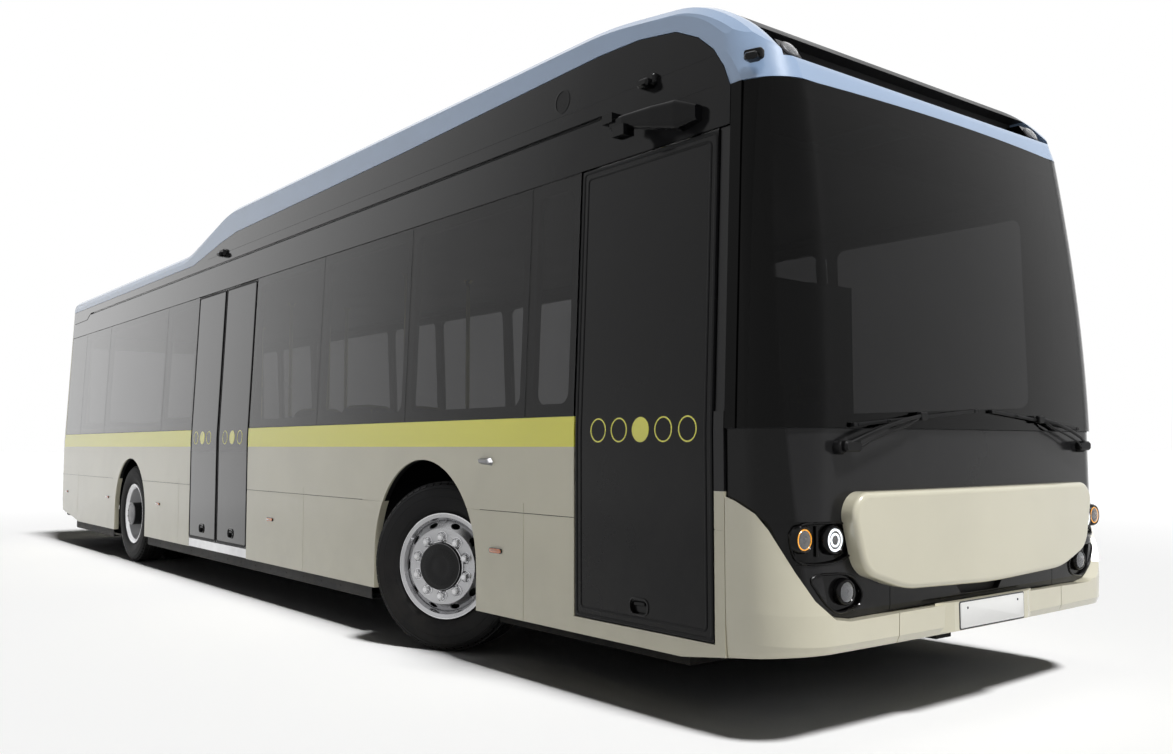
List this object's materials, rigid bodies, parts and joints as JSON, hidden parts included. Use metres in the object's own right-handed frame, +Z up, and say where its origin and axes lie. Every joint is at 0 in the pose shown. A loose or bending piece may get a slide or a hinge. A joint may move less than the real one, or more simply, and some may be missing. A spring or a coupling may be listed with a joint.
{
  "type": "city bus",
  "caption": "Low-floor electric single-deck city bus with flush dark glazing, two right-side doors, steered front wheels and twin rear wheels.",
  "frame": {"origin": "on the ground, midway along the length and the width", "axes": "+X forward, +Y to the driver's left, +Z up"},
  "size_m": [12.0063, 2.8556, 3.2319],
  "materials": {
    "cream_paint": "satin",
    "black_panel": "gloss",
    "blue_paint": "satin",
    "dark_roof": "matte",
    "tinted_glass": "gloss",
    "alloy": "polished",
    "chassis": "matte",
    "tyre": "matte",
    "interior_plastic": "matte",
    "floor_vinyl": "matte",
    "seat_cloth": "matte",
    "rail": "satin",
    "lamp": "gloss",
    "red_lamp": "gloss",
    "amber_lamp": "gloss",
    "black_rubber": "matte"
  },
  "bodies": {
    "body": {"left_wall": "cream_paint", "right_wall": "cream_paint", "left_upper_panel": "black_panel", "right_upper_panel": "black_panel", "side_windows": "tinted_glass", "door_sill": "alloy", "front_bumper": "cream_paint", "front_panel": "black_panel", "headlamps": "lamp", "front_mask": "cream_paint", "windscreen": "tinted_glass", "wipers": "black_rubber", "roof_edge": "blue_paint", "roof_fairing": "dark_roof", "roof_panel": "dark_roof", "roof_frame": "interior_plastic", "cab_frame": "chassis", "rear_panel": "cream_paint", "rear_bumper": "cream_paint", "rear_window": "tinted_glass", "tail_lamps": "red_lamp", "saloon_floor": "floor_vinyl", "wheel_houses": "chassis", "underframe": "chassis", "battery_pack": "chassis", "front_axle": "chassis", "rear_axle": "chassis", "passenger_seats": "seat_cloth", "driver_seat": "seat_cloth", "dashboard": "interior_plastic", "steering_wheel": "black_rubber", "cab_partition": "interior_plastic", "handrails": "rail", "camera_arms": "black_panel", "corner_posts": "black_panel", "roof_lamps": "lamp", "side_lamps": "amber_lamp"},
    "front_door": {"front_door": "black_panel"},
    "mid_front_leaf": {"mid_door_front_leaf": "black_panel"},
    "mid_rear_leaf": {"mid_door_rear_leaf": "black_panel"},
    "rear_lid": {"rear_lid": "cream_paint"},
    "left_hub": {"left_knuckle": "chassis"},
    "right_hub": {"right_knuckle": "chassis"},
    "left_front_wheel": {"left_front_tyre": "tyre", "left_front_rim": "alloy"},
    "right_front_wheel": {"right_front_tyre": "tyre", "right_front_rim": "alloy"},
    "left_rear_wheel": {"left_rear_tyres": "tyre", "left_rear_rims": "alloy"},
    "right_rear_wheel": {"right_rear_tyres": "tyre", "right_rear_rims": "alloy"}
  },
  "joints": [
    {"name": "left_steer", "type": "hinge", "parent": "body", "child": "left_hub", "pos_m": [3.125, 0.975, 0.487], "axis": [0, 0, 1], "range_deg": [-72, 18]},
    {"name": "right_steer", "type": "hinge", "parent": "body", "child": "right_hub", "pos_m": [3.125, -0.975, 0.487], "axis": [0, 0, 1], "range_deg": [-72, 18]},
    {"name": "left_front_spin", "type": "hinge", "parent": "left_hub", "child": "left_front_wheel", "pos_m": [3.05781, 1.10687, 0.487], "axis": [-0.454, 0.891, 0], "continuous": true},
    {"name": "right_front_spin", "type": "hinge", "parent": "right_hub", "child": "right_front_wheel", "pos_m": [3.19219, -1.10687, 0.487], "axis": [-0.454, 0.891, 0], "continuous": true},
    {"name": "left_rear_spin", "type": "hinge", "parent": "body", "child": "left_rear_wheel", "pos_m": [-2.89, 1.115, 0.487], "axis": [0, 1, 0], "continuous": true},
    {"name": "right_rear_spin", "type": "hinge", "parent": "body", "child": "right_rear_wheel", "pos_m": [-2.89, -1.115, 0.487], "axis": [0, 1, 0], "continuous": true},
    {"name": "front_door_swing", "type": "hinge", "parent": "body", "child": "front_door", "pos_m": [5.465, -1.178, 1.4], "axis": [0, 0, -1], "range_deg": [0, 88]},
    {"name": "mid_front_leaf_swing", "type": "hinge", "parent": "body", "child": "mid_front_leaf", "pos_m": [0.317, -1.178, 1.4], "axis": [0, 0, -1], "range_deg": [0, 88]},
    {"name": "mid_rear_leaf_swing", "type": "hinge", "parent": "body", "child": "mid_rear_leaf", "pos_m": [-1.022, -1.178, 1.4], "axis": [0, 0, 1], "range_deg": [0, 88]},
    {"name": "rear_lid_lift", "type": "hinge", "parent": "body", "child": "rear_lid", "pos_m": [-6.014, 0, 1.176], "axis": [0, 1, 0], "range_deg": [0, 85]}
  ],
  "couplings": [
    {"joint": "right_steer", "follows": "left_steer", "ratio": 1}
  ]
}
